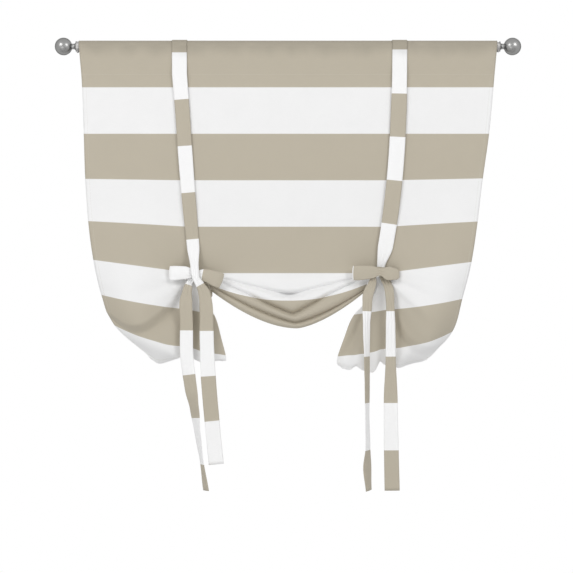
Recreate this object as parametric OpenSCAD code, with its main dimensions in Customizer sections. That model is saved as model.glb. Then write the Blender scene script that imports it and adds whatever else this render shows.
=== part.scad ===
// Tie-up balloon shade on a telescoping curtain rod with ball finials.
// Frame: origin on the wall, in the middle of the four bracket screws; +X to the right, -Y into the room, +Z up.

/* [Shade panel] */
// Width of the flat panel
panel_w = 1067; // [900:1:1300]
// Height of one stripe
stripe_h = 118.6; // [100:0.1:140]
// Thickness of the cloth
cloth_th = 1; // [0.6:0.1:1.4]
// Depth of the straight part of the rod pocket, down to its seam
pocket_depth = 70; // [50:1:90]
// How far the balloon lobes stand forward
pouf_depth = 62; // [30:1:80]
// Drop of the middle swag below the knots
swag_drop = 140; // [110:1:165]
// Depth of the swag's folds, ridge to valley
swag_fold = 20; // [8:1:26]

/* [Ties] */
// Width of a tie
tie_w = 38; // [28:1:46]
// Thickness of a tie, two plies
tie_th = 1.2; // [0.8:0.1:1.6]
// Left tie's middle from the panel's left edge
left_tie_inset = 257; // [230:1:280]
// Right tie's middle from the panel's right edge
right_tie_inset = 249; // [230:1:280]
// Distance of each knot from the middle
knot_x = 235; // [215:1:250]

/* [Rod] */
// Outer diameter of the large tube
outer_tube_d = 25.4; // [19:0.1:30]
// Wall of both tubes
tube_wall = 1.2; // [0.8:0.1:1.5]
// Bare rod between the pocket's end and the finial's collar
bare_end = 6; // [5.5:0.1:12]
// Length of the overlap between the two tubes
tube_overlap = 330; // [200:5:400]
// How far the large tube stops short of the right end
outer_tube_short = 160; // [80:5:240]
// Distance from the wall to the rod's axis
rod_projection = 80; // [70:1:110]

/* [Finials] */
// Diameter of the ball
ball_d = 44.6; // [36:0.1:60]
// Diameter of the neck
neck_d = 14; // [10:0.1:18]
// Length of the neck between the collar's flare and the ball
neck_len = 5; // [3:0.1:10]
// Diameter of the collar's rim
collar_d = 26; // [25.5:0.1:32]
// Length of the flared collar
collar_len = 7; // [5:0.1:12]
// Diameter of the threaded stud
stud_d = 8; // [5:0.1:10]
// Length of the stud
stud_len = 16; // [10:0.5:24]
// Length of an end plug
plug_len = 22; // [18:0.5:30]

/* [Brackets] */
// Width of the wall plate
plate_w = 24; // [18:0.5:30]
// Height between the two screw holes
screw_spacing = 50; // [44:1:60]
// Diameter of the screw holes
screw_hole_d = 5; // [3.5:0.1:6]
// Thickness of the bracket's strap steel
strap_th = 4; // [3:0.1:5]
// Height of the bracket's arm
arm_h = 16; // [12:0.5:20]

/* [Hidden] */

taupe = [0.73, 0.70, 0.62];
pewter = [0.55, 0.55, 0.54];
moulded_grey = [0.30, 0.30, 0.31];
round_fn = 96;
cut_over = 1;       // overrun of every cut
cloth_ease = 0.35;  // room between cloth and what it lies on
fit_ease = 0.05;    // radial room of a plug or stud
slide_ease = 0.3;   // radial room between the tubes and in the hooks
face_ease = 0.1;    // room between faces that meet
hook_ease = 0.75;   // room either side of a bracket's hook
tie_ease = 0.84;    // room between a tie and the panel

// Rod sizes
outer_r = outer_tube_d/2;
outer_bore_r = outer_r - tube_wall;
inner_r = outer_bore_r - slide_ease;
inner_bore_r = inner_r - tube_wall;
rod_half = panel_w/2 + bare_end;
outer_end_x = rod_half - outer_tube_short;
inner_start_x = outer_end_x - tube_overlap;

// Panel levels, measured as drops below the top fold
stripe_count = 8;
knot_stripe = 5;
half_w = panel_w/2;
drop = stripe_h*stripe_count;
knot_t = stripe_h*knot_stripe;
pocket_slack_share = 0.06;
pocket_r = outer_r + cloth_ease + cloth_th/2 + pocket_slack_share*outer_r;
top_z = pocket_r;
knot_z = top_z - knot_t;
seam_y = cloth_th/2 + cloth_ease;
pocket_turn = 180 - atan(pocket_depth/pocket_r);
pocket_arc_z = pocket_r*cos(pocket_turn);
seam_t = top_z - pocket_arc_z + pocket_depth*sin(pocket_turn);

// Where the panel is pinched at each knot, as distances from the middle in the flat panel
pinch_out_share = 1.24;
pinch_in_share = 1.04;
pinch_out = knot_x*pinch_out_share;
pinch_in = knot_x*pinch_in_share;
knot_out_share = 1.034;
knot_in_share = 0.962;
knot_out_x = knot_x*knot_out_share;
knot_in_x = knot_x*knot_in_share;
draw_in_power = 1.2;

// Side edges, one value per stripe from the top fold to the hem: distance from the middle as a share of the half
// width, and drop below the top fold in stripes
left_edge_x_shares = [1, 0.985, 0.977, 0.97, 0.955, 0.928, 0.887, 0.827, 0.66];
right_edge_x_shares = [1, 0.983, 0.962, 0.932, 0.906, 0.874, 0.829, 0.782, 0.664];
left_edge_drop_shares = [0, 1, 2, 2.97, 3.88, 4.715, 5.465, 6.12, 6.8];
right_edge_drop_shares = [0, 1, 2, 2.96, 3.89, 4.76, 5.55, 6.25, 6.87];

// The fan below a knot, in stripes below the knot: its stripes are drawn up, and its hem falls short. Its inner edge
// flares towards the middle, by these shares of its reach from the knot down to the hem.
left_fan_drop_shares = [0, 0.79, 1.58, 1.78];
right_fan_drop_shares = [0, 0.79, 1.61, 1.95];
fan_tilt_shares = [0, 0.1, 0.18, 0.1];
fan_out_share = 0.08;
left_flare_x_share = 0.677;
right_flare_x_share = 0.54;
flare_shares = [0, 0.1, 0.6, 0.84, 1, 1, 0.88];
flare_fold_share = 0.62;
fan_belly_share = 0.09;
bunch_share = 0.19;
bunch_turn = 135;
pleat_share = 0.16;
pleat_count = 1.6;
lobe_pleat_share = 1.3;
hem_dip_share = 0.55;
rise_y_share = 0.17;
billow_share = 0.08;
belly_share = 0.1;

// The lobes' forward swell
pouf_start_share = 3.2;
pouf_power = 1.6;
pouf_curl_share = 0.25;
pouf_edge_shares = [0.02, 0.8];
pouf_across_power = 1.6;

// The fold dragged from each knot to the side edge: its drop in stripes at even places from the knot to the edge, and
// the step back below it
left_drag_drop_shares = [5, 5.75, 6.25, 6.58, 6.68, 6.5];
right_drag_drop_shares = [5.3, 6.35, 6.85, 7.1, 7.25, 7.3];
drag_depth_share = 0.17;
drag_step_share = 0.3;
drag_fade_share = 0.6;

// The swag between the knots: its creases at the middle as shares of its front, how far each climbs towards the
// knots, and how far the cloth puffs out between them
swag_skew_share = 0.1;
swag_top_power = 2.4;
left_swag_foot_power = 1.9;
right_swag_foot_power = 1.5;
swag_turn_share = 0.667;
swag_crease_shares = [0, 0.386, 0.743, 0.9, 1];
left_swag_climb_shares = [0, 0.8, 0.85, 0.42, 0];
right_swag_climb_shares = [0, 0.8, 0.85, 0.15, 0];
swag_puff_shares = [0.35, 0.9, 0.75, 0.5];
swag_puff_power = 0.8;
swag_lean_share = 0.14;
swag_tuck_share = 0.55;

// Soft upright waves above the knots
wave_share = 0.016;
wave_count = 5.6;

// Grid of the panel
pocket_rows = 8;
hang_rows = 6;
fall_rows = 22;
lobe_columns = 10;
pinch_columns = 8;
swag_columns = 10;

// Small helpers
function mix(a, b, f) = a + (b - a)*f;
function clamp(v) = min(1, max(0, v));
function ease(v) = let (c = clamp(v)) c*c*(3 - 2*c);
function unit(v) = v/norm(v);
function at(list, i) = list[min(len(list) - 1, max(0, i))];

// Smooth value at place k along a list of evenly spaced values
function track(list, k) =
    let (
        n = len(list) - 1,
        i = min(n - 1, max(0, floor(k))),
        f = k - i,
        b = list[i],
        c = list[i + 1],
        a = i > 0 ? list[i - 1] : 2*b - c,
        d = i + 2 <= n ? list[i + 2] : 2*c - b
    )
    b + f/2*(c - a + f*(2*a - 5*b + 4*c - d + f*(3*(b - c) + d - a)));

// Share of the length below the knots at drop t
function below_knot(t) = clamp((t - knot_t)/(drop - knot_t));

// Side edge of the panel at drop t
function edge_x(side, t) =
    half_w*track(side < 0 ? left_edge_x_shares : right_edge_x_shares, t/stripe_h);
function edge_z(side, t) =
    top_z - stripe_h*track(side < 0 ? left_edge_drop_shares : right_edge_drop_shares, t/stripe_h);

// How far below the knot level the fan's fabric hangs, for share r of the length below the knot
function fan_drop(side, r) =
    stripe_h*track(side < 0 ? left_fan_drop_shares : right_fan_drop_shares, r*(stripe_count - knot_stripe));

// Across the knot level: the panel's flat distance a from the middle, drawn in
function knot_level_x(a) =
    a <= pinch_in ? a*knot_in_x/pinch_in
    : mix(knot_in_x, knot_out_x, (a - pinch_in)/(pinch_out - pinch_in));

// Forward swell of a lobe at share q from the knot (0) to the side edge (1)
function pouf(q, t) =
    let (
        u = clamp((t/stripe_h - pouf_start_share)/(stripe_count - pouf_start_share)),
        across = pow(sin(180*(pouf_edge_shares[0] + (pouf_edge_shares[1] - pouf_edge_shares[0])*q)), pouf_across_power)
    )
    pouf_depth*across*(pouf_curl_share*pow(u, 6) - sin(180*pow(u, pouf_power)));

// Soft waves that take up the width drawn in towards the knots
function wave(s, t) =
    let (f = clamp(t/knot_t))
    stripe_h*wave_share*f*f*sin(360*wave_count*s/panel_w)*(1 - ease(2*below_knot(t)));

// The cloth bunched at a knot's inner side, from front to back under the tie
function bunch_fall(r) = stripe_h*bunch_share*sin(bunch_turn*r);
function bunch_y(r) = mix(-seam_y, stripe_h*rise_y_share, sin(90*r));

// Fan pleats at fan place g and share r below the knot
function pleat(g, r) = stripe_h*pleat_share*ease(r)*(cos(360*pleat_count*g) - 1)/2;

// Step back below the fold that is dragged from the knot across the lobe
function drag(side, q, t) =
    let (
        line = side < 0 ? left_drag_drop_shares : right_drag_drop_shares,
        past = max(0, t/stripe_h - track(line, q*(len(line) - 1)))
    )
    stripe_h*drag_depth_share*ease(past/drag_step_share)*exp(-past/drag_fade_share)*ease(6*q);

// The lobe between a knot and the side edge
function lobe_point(side, a, t) =
    let (
        q = (a - pinch_out)/(half_w - pinch_out),
        r = below_knot(t),
        draw = pow(clamp(t/knot_t), draw_in_power),
        inner_x = mix(pinch_out, knot_out_x, draw) + knot_x*fan_out_share*r,
        inner_z = t > knot_t ? knot_z - fan_drop(side, r) : top_z - t,
        fade = exp(-4*q),
        fold = pleat(-lobe_pleat_share*q, r)*fade,
        swell = pouf(q, t) + drag(side, q, t),
        sag = stripe_h*belly_share*4*q*(1 - q)*ease(r)
    )
    [
        side*mix(inner_x, edge_x(side, t), q),
        -seam_y + wave(side*a, t) + swell + fold - stripe_h*fan_belly_share*sin(180*r)*fade,
        mix(inner_z, edge_z(side, t), q) - sag + hem_dip_share*fold*r*r
    ];

// The pinched cloth that passes the knot and hangs as a fan, then turns back and rises behind to the bunch
function fan_point(side, a, t) =
    let (
        phi = (pinch_out - a)/(pinch_out - pinch_in),
        r = below_knot(t),
        front = clamp(phi/flare_fold_share),
        back = clamp((phi - flare_fold_share)/(1 - flare_fold_share)),
        lift = ease(back),
        fold_x = mix(knot_out_x, knot_in_x, flare_fold_share),
        flare = knot_x*(side < 0 ? left_flare_x_share : right_flare_x_share) - fold_x,
        spread = mix(knot_x*fan_out_share*r, flare*track(flare_shares, r*(len(flare_shares) - 1)), front),
        tilt = stripe_h*track(fan_tilt_shares, r*(len(fan_tilt_shares) - 1))*front,
        fall = mix(fan_drop(side, r) + tilt, bunch_fall(r), lift),
        fold = pleat(flare_fold_share*front, r),
        front_y = -seam_y + wave(side*a, t) + fold - stripe_h*fan_belly_share*sin(180*r) + pouf(0, t)
    )
    [
        side*(knot_level_x(a) + spread*pow(1 - lift, 2)),
        mix(front_y, bunch_y(r) + wave(side*a, t), lift) + stripe_h*billow_share*sin(180*back)*r,
        knot_z - fall + hem_dip_share*fold*r*r*(1 - lift)
    ];

// How far the swag stands forward between its creases, at place c from its lowest point to a knot and share w of its
// front, as a share of the folds' depth
function swag_puff(side, c, w) =
    let (
        climb = side < 0 ? left_swag_climb_shares : right_swag_climb_shares,
        creases = [for (i = [0:len(climb) - 1]) swag_crease_shares[i]*(1 - climb[i]*c)],
        k = max([for (i = [0:len(swag_puff_shares) - 1]) if (creases[i] <= w) i]),
        gap = creases[k + 1] - creases[k],
        share = min(1, gap/(swag_crease_shares[k + 1] - swag_crease_shares[k]))
    )
    swag_puff_shares[k]*share*pow(abs(sin(180*(w - creases[k])/gap)), swag_puff_power);

// The swag between the knots: folds that fall from knot to knot, with the hem tucked up behind
function swag_point(s, t) =
    let (
        u = s/pinch_in,
        r = below_knot(t),
        w = clamp(r/swag_turn_share),
        tuck = clamp((r - swag_turn_share)/(1 - swag_turn_share)),
        off = u - swag_skew_share*w*w*(1 - u*u),
        c = abs(off),
        open = 1 - pow(c, mix(swag_top_power, off < 0 ? left_swag_foot_power : right_swag_foot_power, w)),
        lean = swag_drop*swag_lean_share*sin(90*w)*(1 - c*c),
        front_y = -lean - swag_fold*swag_puff(sign(off), c, w)*sqrt(1 - c*c)
    )
    [
        s*knot_in_x/pinch_in,
        mix(mix(front_y - seam_y, stripe_h*rise_y_share, ease(tuck)), bunch_y(r), pow(c, 4)) + wave(s, t),
        knot_z - swag_drop*w*open - bunch_fall(r)*c*c + swag_drop*swag_tuck_share*tuck*tuck*open
    ];

// The panel above the knots
function hang_point(s, t) =
    let (
        a = abs(s),
        draw = pow(clamp(t/knot_t), draw_in_power)
    )
    [sign(s)*mix(a, knot_level_x(a), draw), -seam_y + wave(s, t), top_z - t];

// The middle surface of the cloth at flat place s across and drop t
function cloth_point(s, t) =
    abs(s) >= pinch_out ? lobe_point(sign(s), abs(s), t)
    : t <= knot_t ? hang_point(s, t)
    : abs(s) >= pinch_in ? fan_point(sign(s), abs(s), t)
    : swag_point(s, t);

// The rod pocket, from the seam behind (h = -1) over the rod to the seam in front (h = 1)
pocket_arc_share = 0.75;
function pocket_point(s, h) =
    let (
        m = abs(h),
        turn = pocket_turn*min(1, m/pocket_arc_share),
        along = clamp((m - pocket_arc_share)/(1 - pocket_arc_share)),
        y = mix(pocket_r*sin(turn), seam_y, along),
        z = mix(pocket_r*cos(turn), top_z - seam_t, along),
        x = cloth_point(s, top_z - z)[0]
    )
    [x, -sign(h)*y, z];

// Columns across and rows down the panel
function half_columns() = concat(
    [for (i = [0:lobe_columns - 1]) mix(half_w, pinch_out, i/lobe_columns)],
    [for (i = [0:pinch_columns - 1]) mix(pinch_out, pinch_in, i/pinch_columns)],
    [for (i = [0:swag_columns - 1]) mix(pinch_in, 0, i/swag_columns)]
);
function columns() =
    let (half = half_columns(), n = len(half))
    concat([for (a = half) -a], [0], [for (i = [n - 1:-1:0]) half[i]]);
function cloth_rows(s) = concat(
    [for (i = [-pocket_rows:pocket_rows - 1]) pocket_point(s, i/pocket_rows)],
    [for (i = [0:hang_rows - 1]) cloth_point(s, mix(seam_t, knot_t, i/hang_rows))],
    [for (i = [0:fall_rows]) cloth_point(s, mix(knot_t, drop, i/fall_rows))]
);

// Closed shell of a sheet whose middle surface is a grid of points, each row one column of the cloth
module sheet_solid(grid, th) {
    m = len(grid);
    n = len(grid[0]);
    normal = [for (i = [0:m - 1]) [for (j = [0:n - 1])
        unit(cross(at(grid, i + 1)[j] - at(grid, i - 1)[j], at(grid[i], j + 1) - at(grid[i], j - 1)))]];
    front = [for (i = [0:m - 1]) for (j = [0:n - 1]) grid[i][j] - normal[i][j]*th/2];
    back = [for (i = [0:m - 1]) for (j = [0:n - 1]) grid[i][j] + normal[i][j]*th/2];
    off = m*n;
    function cell(i, j) = [i*n + j, (i + 1)*n + j, (i + 1)*n + j + 1, i*n + j + 1];
    rim = concat(
        [for (j = [0:n - 2]) j + 1],
        [for (i = [0:m - 2]) (i + 1)*n + n - 1],
        [for (j = [n - 2:-1:0]) (m - 1)*n + j],
        [for (i = [m - 2:-1:0]) i*n]
    );
    faces = concat(
        [for (i = [0:m - 2]) for (j = [0:n - 2]) let (c = cell(i, j)) each [[c[0], c[1], c[2]], [c[0], c[2], c[3]]]],
        [for (i = [0:m - 2]) for (j = [0:n - 2]) let (c = cell(i, j) + [off, off, off, off])
            each [[c[0], c[2], c[1]], [c[0], c[3], c[2]]]],
        [for (k = [0:len(rim) - 1]) let (p = rim[k], q = rim[(k + 1)%len(rim)])
            each [[p, q, q + off], [p, q + off, p + off]]]
    );
    polyhedron(concat(front, back), faces);
}

module shade_panel() {
    color(taupe) at_rod() sheet_solid([for (s = columns()) cloth_rows(s)], cloth_th);
}

// Ties: a flat strip swept through stations [centre, half width, yaw, roll]. Yaw turns the strip's width
// towards the wall, roll turns it upright.
strip_steps = 4;

// Centre line: a smooth curve through the stations, its pull at each one shared out by the distances either side
function pull(p, i) =
    let (a = at(p, i - 1), b = p[i], c = at(p, i + 1))
    (c - a)/(norm(b - a) + norm(c - b));
function between(p, i, f) =
    let (d = norm(p[i + 1] - p[i]), a = p[i], b = p[i + 1], u = pull(p, i)*d, v = pull(p, i + 1)*d, g = 1 - f)
    a*(1 + 2*f)*g*g + b*(1 + 2*g)*f*f + u*f*g*g - v*g*f*f;
function strip_centres(stations) =
    let (p = [for (s = stations) s[0]], n = len(p) - 1)
    concat([for (i = [0:n - 1]) for (k = [0:strip_steps - 1]) between(p, i, k/strip_steps)], [p[n]]);
function strip_value(stations, c, i) = mix(
    at(stations, floor(i/strip_steps))[c], at(stations, floor(i/strip_steps) + 1)[c], ease((i%strip_steps)/strip_steps));

module strip_solid(stations) {
    centres = strip_centres(stations);
    n = len(centres);
    rings = [for (i = [0:n - 1])
        let (
            along = unit(at(centres, i + 1) - at(centres, i - 1)),
            yaw = strip_value(stations, 2, i),
            roll = strip_value(stations, 3, i),
            lean = [cos(yaw)*cos(roll), sin(yaw)*cos(roll), sin(roll)],
            across = unit(lean - along*(lean*along)),
            up = cross(along, across)*tie_th/2,
            wide = across*strip_value(stations, 1, i)
        )
        each [centres[i] + wide + up, centres[i] - wide + up, centres[i] - wide - up, centres[i] + wide - up]];
    faces = concat(
        [[0, 1, 2], [0, 2, 3]],
        [for (i = [0:n - 2]) for (k = [0:3]) let (a = 4*i + k, b = 4*i + (k + 1)%4)
            each k < 2 ? [[a, a + 4, b + 4], [a, b + 4, b]] : [[a, a + 4, b], [b, a + 4, b + 4]]],
        [let (e = 4*(n - 1)) each [[e, e + 2, e + 1], [e, e + 3, e + 2]]]
    );
    polyhedron(rings, faces);
}

// Where a tie crosses the panel: from the header to the knot in flat distance from the middle
function tie_start(side) = half_w - (side < 0 ? left_tie_inset : right_tie_inset);
tie_gap = cloth_th/2 + tie_th/2 + tie_ease;
pocket_tie_r = pocket_r + tie_gap;
tie_turn_shares = [0.04, 0.24, 0.48, 0.72, 0.96];
pocket_tie_shares = [0.1, 0.35, 0.7, 1];
bridge_share = 0.1;
front_level_shares = [0.3, 0.5, 0.7, 0.88];
strap_stand_shares = [0.064, 0.16];
strap_taper_share = 0.72;
strap_wide_shares = [0.97, 1.06];
strap_taper_powers = [5, 16];
strap_run_powers = [1.45, 2.6];

// Stations round the header, on the front (face -1) or the back (face 1). A back tie is rolled half a turn there,
// so that it rolls the short way into its bow.
function face_roll(face) = face < 0 ? 0 : 180;
function header_stations(side, face) = [for (f = tie_turn_shares)
    [[side*tie_start(side), face*pocket_tie_r*sin(f*pocket_turn), pocket_tie_r*cos(f*pocket_turn)],
        tie_w/2, 0, side*face_roll(face)]];

// Stations below the header: the front tie lies on the pocket, the back tie hangs clear of it
function below_stations(side, face) = [for (f = pocket_tie_shares)
    [[side*tie_start(side),
        face*(tie_gap + mix(pocket_r*sin(pocket_turn), face < 0 ? seam_y : pocket_r, f) + tie_w*bridge_share*f*f),
        mix(pocket_arc_z, top_z - seam_t, f)], tie_w/2, 0, side*face_roll(face)]];

// A station placed from the knot in tie widths, with its half width as a share of the tie's
function knot_station(side, place, wide, yaw, roll) =
    [[side*(knot_x + place[0]*tie_w), place[1]*tie_w, knot_z + place[2]*tie_w], wide*tie_w/2, side*yaw, side*roll];

// Stations of the front strap between the header and the knot; the left and right straps run and taper apart
function front_strap(side) =
    let (k = side < 0 ? 0 : 1)
    [for (f = front_level_shares)
        [[side*mix(tie_start(side), knot_x, pow(f, strap_run_powers[k])),
            -tie_gap - tie_w*mix(strap_stand_shares[0], strap_stand_shares[1], f), top_z - f*knot_t],
            mix(strap_wide_shares[k], strap_taper_share, pow(f, strap_taper_powers[k]))*tie_w/2, 0, 0]];

// Tails and bows, as places in tie widths from the knot: x away from the middle, y towards the wall, z up
left_front_tail_shares = [
    [[0.04, -0.94, 0.36], 0.54, 0, 0], [[0, -1.03, 0], 0.5, 0, 0], [[-0.08, -1.04, -0.38], 0.46, 0, 0],
    [[-0.34, -1.03, -0.8], 0.56, 0, 0], [[-0.62, -1, -1.4], 0.8, 2, 0],
    [[-0.74, -1.02, -2.4], 0.9, 6, 0], [[-0.77, -0.98, -4.4], 0.94, 0, 0],
    [[-0.88, -0.95, -7], 1, -6, 0], [[-1.15, -0.9, -10.2], 1, -8, 0], [[-1.4, -0.85, -12.75], 1, -4, 0]
];
right_front_tail_shares = [
    [[0.04, -0.22, 0.34], 0.52, 0, 0], [[0.2, -0.24, -0.2], 0.5, 0, 0], [[0.42, -0.38, -0.62], 0.56, 0, 0],
    [[0.55, -0.66, -1.02], 0.6, 0, 0], [[0.6, -0.92, -1.46], 0.58, 0, 0],
    [[0.63, -1.02, -2.1], 0.54, 6, 0], [[0.65, -1.05, -3.6], 0.64, 10, 0], [[0.66, -1, -5.6], 0.68, 4, 0],
    [[0.66, -0.98, -8.6], 0.92, -4, 0], [[0.7, -0.95, -11.6], 0.98, -8, 0], [[0.76, -0.9, -14.5], 1, -4, 0]
];
back_run_shares = [
    [[0.72, 0.6, 9], 1, 0, 180], [[0.3, 0.74, 5], 1, 0, 180], [[-0.45, 0.8, 1.6], 0.8, 0, 180],
    [[-0.82, 0.76, -0.76], 0.5, 0, 180], [[-0.9, 0.4, -1.48], 0.36, 0, 180], [[-0.9, -0.24, -1.48], 0.36, 0, 180],
    [[-0.72, -0.44, -0.84], 0.4, 0, 160], [[-0.5, -0.36, -0.3], 0.4, 0, 125]
];
left_bow_shares = [
    [[-0.1, -0.34, -0.02], 0.42, 0, 90], [[0.7, -0.46, 0.02], 0.8, 0, 90], [[1.42, -0.66, 0], 0.94, 0, 90],
    [[1.68, -0.8, 0], 0.92, 0, 90], [[1.38, -0.92, 0], 0.96, 0, 90], [[0.7, -0.84, 0.02], 0.86, 0, 90],
    [[0, -0.76, -0.04], 0.44, 0, 90], [[-0.7, -0.82, -0.16], 0.86, 0, 104], [[-1.45, -0.9, -0.42], 1.02, 0, 110],
    [[-1.74, -0.79, -0.52], 1.02, 0, 110], [[-1.4, -0.68, -0.4], 0.96, 0, 110], [[-0.6, -0.62, -0.16], 0.6, 0, 100],
    [[0.06, -0.58, -0.2], 0.36, 0, 60], [[0.34, -0.66, -0.55], 0.4, 0, 20]
];
left_back_tail_shares = [
    [[0.52, -0.9, -1.1], 0.6, 0, 0], [[0.62, -1.02, -2], 0.86, 4, 0], [[0.58, -1.02, -3.4], 0.88, 8, 0],
    [[0.56, -1, -5.4], 0.88, 0, 0], [[0.3, -0.96, -7.6], 0.88, 20, 0], [[0.06, -0.92, -9], 0.94, 48, 0],
    [[-0.15, -0.9, -10.6], 0.98, 64, 0], [[-0.44, -0.88, -12.6], 1, 74, 0], [[-0.72, -0.86, -14.5], 1, 66, 0]
];
right_bow_shares = [
    [[-0.12, -0.44, 0.02], 0.42, 0, 90], [[0.6, -0.44, 0], 0.88, 0, 90], [[1.05, -0.47, -0.06], 0.72, 0, 90],
    [[1.24, -0.6, -0.04], 0.48, 0, 90], [[1.02, -0.76, -0.06], 0.76, 0, 90], [[0.54, -0.84, -0.02], 0.92, 0, 90],
    [[0, -0.86, 0.1], 0.5, 0, 90], [[-0.7, -0.84, 0.06], 0.88, 0, 90], [[-1.5, -0.83, 0.01], 0.98, 0, 90],
    [[-1.82, -0.7, 0.01], 0.94, 0, 90], [[-1.5, -0.57, 0.01], 0.94, 0, 90], [[-0.98, -0.58, 0.02], 0.6, 0, 90],
    [[-0.66, -0.59, -0.08], 0.42, 0, 66], [[-0.5, -0.62, -0.4], 0.42, 0, 24], [[-0.58, -0.7, -0.76], 0.54, 0, 0]
];
right_back_tail_shares = [
    [[-0.72, -0.84, -1.06], 0.66, 0, 0], [[-0.86, -0.98, -1.46], 0.69, 2, 0], [[-0.9, -1.03, -2], 0.64, 8, 0],
    [[-0.94, -1.05, -3.4], 0.6, 36, 0], [[-0.92, -1.02, -5.4], 0.7, 56, 0], [[-0.9, -1, -7.4], 0.86, 66, 0],
    [[-0.9, -0.98, -9.6], 0.96, 72, 0], [[-0.86, -0.95, -11.6], 1, 70, 0], [[-0.9, -0.92, -13], 1, 56, 0],
    [[-0.8, -0.9, -14.5], 1, 66, 0]
];

function placed(side, list) = [for (s = list) knot_station(side, s[0], s[1], s[2], s[3])];

module front_tie(side, tail) {
    color(taupe) at_rod() strip_solid(
        concat(header_stations(side, -1), below_stations(side, -1), front_strap(side), placed(side, tail)));
}
module back_tie(side, bow, tail) {
    color(taupe) at_rod()
        strip_solid(concat(header_stations(side, 1), below_stations(side, 1),
            placed(side, concat(back_run_shares, bow, tail))));
}
module left_front_tie() { front_tie(-1, left_front_tail_shares); }
module right_front_tie() { front_tie(1, right_front_tail_shares); }
module left_back_tie() { back_tie(-1, left_bow_shares, left_back_tail_shares); }
module right_back_tie() { back_tie(1, right_bow_shares, right_back_tail_shares); }

// Rod set
module at_rod() { translate([0, -rod_projection, screw_spacing/2]) children(); }

// A round bar along X from x0 to x1
module bar_x(r, x0, x1) { translate([x0, 0, 0]) rotate([0, 90, 0]) cylinder(r = r, h = x1 - x0, $fn = round_fn); }

module tube(r, x0, x1) {
    at_rod() difference() {
        bar_x(r, x0, x1);
        bar_x(r - tube_wall, x0 - cut_over, x1 + cut_over);
    }
}
module outer_rod_tube() { color(pewter) tube(outer_r, -rod_half, outer_end_x); }
module inner_rod_tube() { color(pewter) tube(inner_r, inner_start_x, rod_half); }

// Plug pressed into a tube's end, bored for the finial's stud
module end_plug(side, bore_r) {
    x1 = rod_half;
    x0 = rod_half - plug_len;
    color(moulded_grey) at_rod() scale_side(side) difference() {
        bar_x(bore_r - fit_ease, x0, x1);
        bar_x(stud_d/2 + fit_ease, x1 - stud_len - face_ease, x1 + cut_over);
    }
}
module scale_side(side) { mirror([side < 0 ? 1 : 0, 0, 0]) children(); }
module left_end_plug() { end_plug(-1, outer_bore_r); }
module right_end_plug() { end_plug(1, inner_bore_r); }

// Turned finial: stud, collar that flares down to the neck, and ball
collar_rim_share = 0.28;
flare_steps = 6;
module finial(side) {
    face_x = rod_half + face_ease;
    rim = collar_len*collar_rim_share;
    neck_r = neck_d/2;
    ball_r = ball_d/2;
    ball_x = face_x + collar_len + neck_len + sqrt(ball_r*ball_r - neck_r*neck_r);
    flare = [for (i = [0:flare_steps]) let (f = i/flare_steps)
        [neck_r + (collar_d/2 - neck_r)*(1 - sin(90*f)), rim + (collar_len - rim)*(1 - cos(90*f))]];
    profile = concat([[0, 0], [collar_d/2, 0]], flare, [[0, collar_len]]);
    color(pewter) at_rod() scale_side(side) union() {
        bar_x(stud_d/2, face_x - stud_len, face_x + collar_len);
        translate([face_x, 0, 0]) rotate([0, 90, 0]) rotate_extrude($fn = round_fn) polygon(profile);
        bar_x(neck_r, face_x + collar_len - face_ease, ball_x);
        translate([ball_x, 0, 0]) sphere(r = ball_r, $fn = round_fn);
    }
}
module left_finial() { finial(-1); }
module right_finial() { finial(1); }

// Strap-steel bracket: wall plate behind the header, arm, and an open hook under the bare end of the rod
hook_wall_share = 0.8;
hook_lip_share = 0.35;
plate_end_share = 0.5;
foot_share = 0.25;
module bracket(side, rod_r) {
    hook_r = rod_r + slide_ease;
    hook_out = hook_r + strap_th*hook_wall_share;
    hook_x0 = rod_half - hook_ease - strap_th;
    hook_x1 = rod_half - hook_ease;
    plate_x1 = half_w - cloth_th;
    plate_x0 = plate_x1 - plate_w;
    plate_x = (plate_x0 + plate_x1)/2;
    foot_x0 = mix(plate_x1, plate_x0, foot_share);
    plate_y0 = rod_projection - strap_th;
    lip_z = rod_r*hook_lip_share;
    color(pewter) at_rod() scale_side(side) difference() {
        union() {
            // Wall plate with round ends
            translate([plate_x0, plate_y0, -screw_spacing]) cube([plate_w, strap_th, screw_spacing]);
            for (z = [-screw_spacing, 0])
                translate([plate_x, rod_projection, z]) rotate([90, 0, 0])
                    cylinder(r = plate_w*plate_end_share, h = strap_th, $fn = round_fn);
            // Foot that carries the arm past the panel's edge, and the arm
            translate([foot_x0, plate_y0 - strap_th, -arm_h/2]) cube([hook_x1 - foot_x0, strap_th*2, arm_h]);
            translate([hook_x0, 0, -arm_h/2]) cube([strap_th, plate_y0, arm_h]);
            bar_x(hook_out, hook_x0, hook_x1);
        }
        bar_x(hook_r, hook_x0 - cut_over, hook_x1 + cut_over);
        // Open top, so that the rod drops in
        translate([hook_x0 - cut_over, -hook_r, 0]) cube([strap_th + 2*cut_over, 2*hook_r, hook_out + cut_over]);
        translate([hook_x0 - cut_over, -hook_out - cut_over, lip_z])
            cube([strap_th + 2*cut_over, hook_out + cut_over, hook_out]);
        for (z = [-screw_spacing, 0])
            translate([plate_x, rod_projection + cut_over, z]) rotate([90, 0, 0])
                cylinder(r = screw_hole_d/2, h = strap_th + 2*cut_over, $fn = round_fn);
    }
}
module left_bracket() { bracket(-1, outer_r); }
module right_bracket() { bracket(1, inner_r); }

shade_panel();
left_front_tie();
right_front_tie();
left_back_tie();
right_back_tie();
outer_rod_tube();
inner_rod_tube();
left_end_plug();
right_end_plug();
left_finial();
right_finial();
left_bracket();
right_bracket();
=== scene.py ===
"""Tie-up balloon shade on a telescoping rod: striped cloth, bow ties, stitches and pewter, in metres."""
import math

import bmesh
import bpy
from mathutils import Matrix, Vector


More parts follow.
